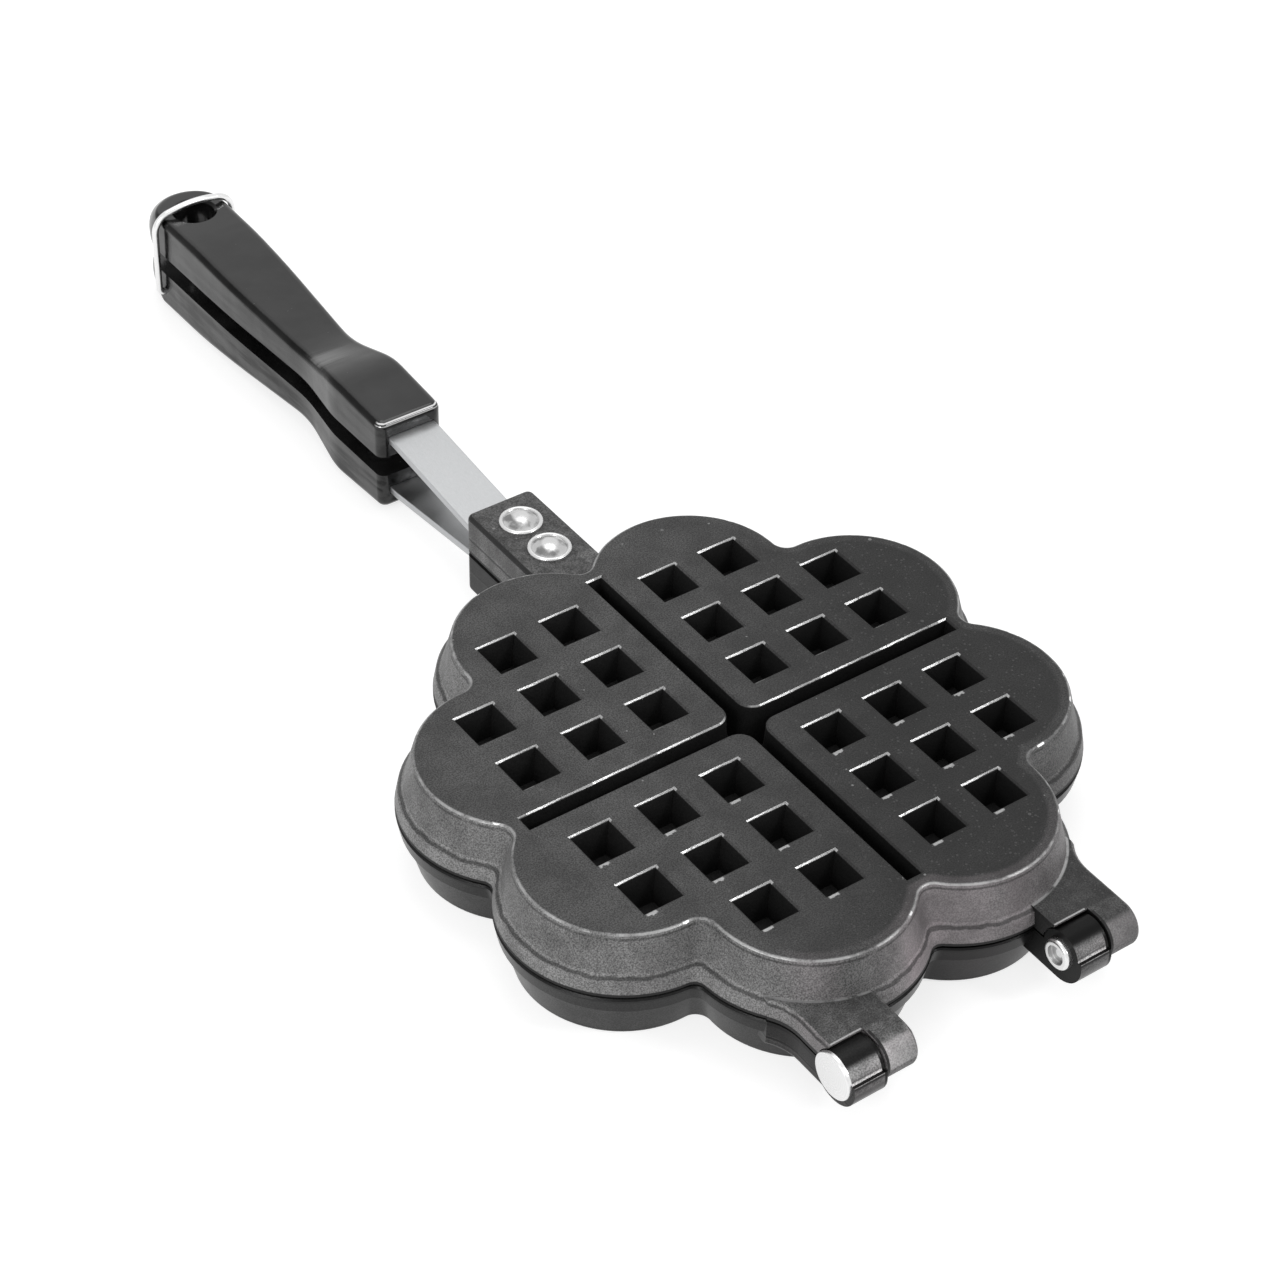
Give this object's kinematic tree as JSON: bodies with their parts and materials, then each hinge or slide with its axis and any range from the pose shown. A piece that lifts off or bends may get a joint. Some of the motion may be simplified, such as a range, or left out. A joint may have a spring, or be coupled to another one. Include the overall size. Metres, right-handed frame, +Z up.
{
  "type": "stovetop waffle iron",
  "caption": "Flower-shaped hob waffle iron: two hinged non-stick castings with heart hollows, flat steel straps, black grips and a wire lock ring.",
  "frame": {"origin": "middle of the footprint, on the plane that the lower plate's underside rests on", "axes": "+Z up; the handle runs to -Y and the hinge is at +Y; the hinge axis runs along X; the plates close on the plane Z = 16.3 mm"},
  "size_m": [0.1656, 0.3918, 0.036],
  "materials": {
    "casting_lower": "die-cast aluminium with a dark grey non-stick coat, semi-matt",
    "casting_upper": "die-cast aluminium with a dark grey non-stick coat, matt on the face, tumbled grain on the wall",
    "strap_steel": "satin rolled steel",
    "rivet_aluminium": "bright, pressed",
    "grip_plastic": "glossy black moulded heat-resistant plastic",
    "screw_steel": "plain zinc-plated",
    "pin_steel": "bright turned ends",
    "ring_wire": "bright nickel-plated wire"
  },
  "bodies": {
    "lower_half": {"lower_plate": "casting_lower", "lower_strap": "strap_steel", "lower_rivet_inner": "rivet_aluminium", "lower_rivet_outer": "rivet_aluminium", "lower_grip": "grip_plastic", "lower_grip_screw": "screw_steel", "hinge_pin_left": "pin_steel", "hinge_pin_right": "pin_steel"},
    "upper_half": {"upper_plate": "casting_upper", "upper_strap": "strap_steel", "upper_rivet_inner": "rivet_aluminium", "upper_rivet_outer": "rivet_aluminium", "upper_grip": "grip_plastic", "upper_grip_screw": "screw_steel"},
    "lock_ring": {"lock_ring": "ring_wire"}
  },
  "joints": [
    {"name": "lid_hinge", "type": "hinge", "parent": "lower_half", "child": "upper_half", "pos_m": [0, 0.18875, 0.0163], "axis": [-1, 0, 0], "range_deg": [0, 100]},
    {"name": "ring_swing", "type": "hinge", "parent": "lower_half", "child": "lock_ring", "pos_m": [0, -0.18105, 0.0061], "axis": [1, 0, 0], "range_deg": [0, 250]}
  ]
}
